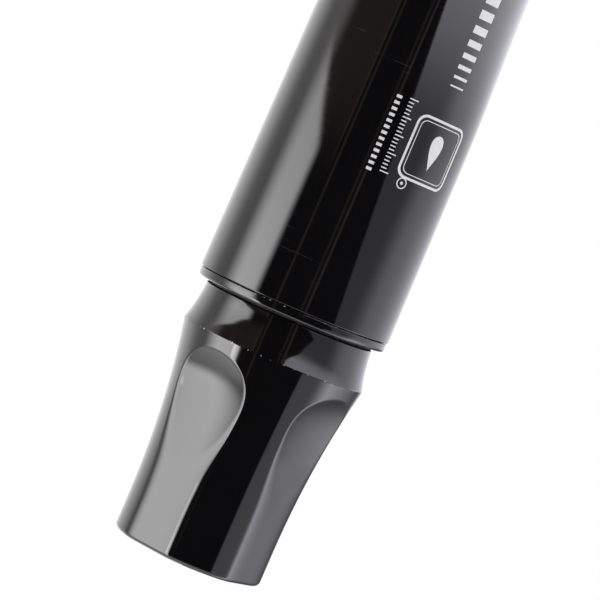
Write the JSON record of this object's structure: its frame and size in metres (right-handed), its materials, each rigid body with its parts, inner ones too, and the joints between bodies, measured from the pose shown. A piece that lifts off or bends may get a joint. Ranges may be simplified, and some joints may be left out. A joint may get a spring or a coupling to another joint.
{
  "type": "marker pen",
  "caption": "Double-ended art marker with a fine nib and a chisel nib, a tapered round barrel and finger-scalloped pull-off caps.",
  "frame": {"origin": "centre of the chisel cap's flat end, which the marker stands on", "axes": "+Z along the marker's axis from the chisel end to the fine end; +X along the width of the chisel nib"},
  "size_m": [0.018, 0.018, 0.1475],
  "materials": {
    "barrel_gloss": "polished black moulded polypropylene, faint turning scratches near the ends",
    "cap_gloss": "polished black moulded polypropylene, faint lengthwise flow lines",
    "section_gloss": "glossy black moulded plastic",
    "satin_plastic": "satin dark grey moulded plastic",
    "liner_plastic": "soft off-white polyethylene",
    "reservoir_fibre": "bundled polyester fibre soaked in black ink",
    "nib_fibre": "pressed fibre, inked black",
    "film": "thin clear wrapping film"
  },
  "bodies": {
    "chisel_cap": {"chisel_cap": "cap_gloss", "chisel_cap_liner": "liner_plastic", "chisel_cap_end_plug": "satin_plastic"},
    "pen": {"barrel": "barrel_gloss", "ink_reservoir": "reservoir_fibre", "reservoir_film": "film", "vent_tube": "liner_plastic", "fine_section": "section_gloss", "fine_nib_holder": "satin_plastic", "fine_nib": "nib_fibre", "chisel_section": "section_gloss", "chisel_nib": "nib_fibre"},
    "fine_cap": {"fine_cap": "cap_gloss", "fine_cap_liner": "liner_plastic"}
  },
  "joints": [
    {"name": "chisel_cap_pull", "type": "slide", "parent": "chisel_cap", "child": "pen", "axis": [0, 0, 1], "range_m": [0, 0.045]},
    {"name": "fine_cap_pull", "type": "slide", "parent": "pen", "child": "fine_cap", "axis": [0, 0, 1], "range_m": [0, 0.03]}
  ]
}
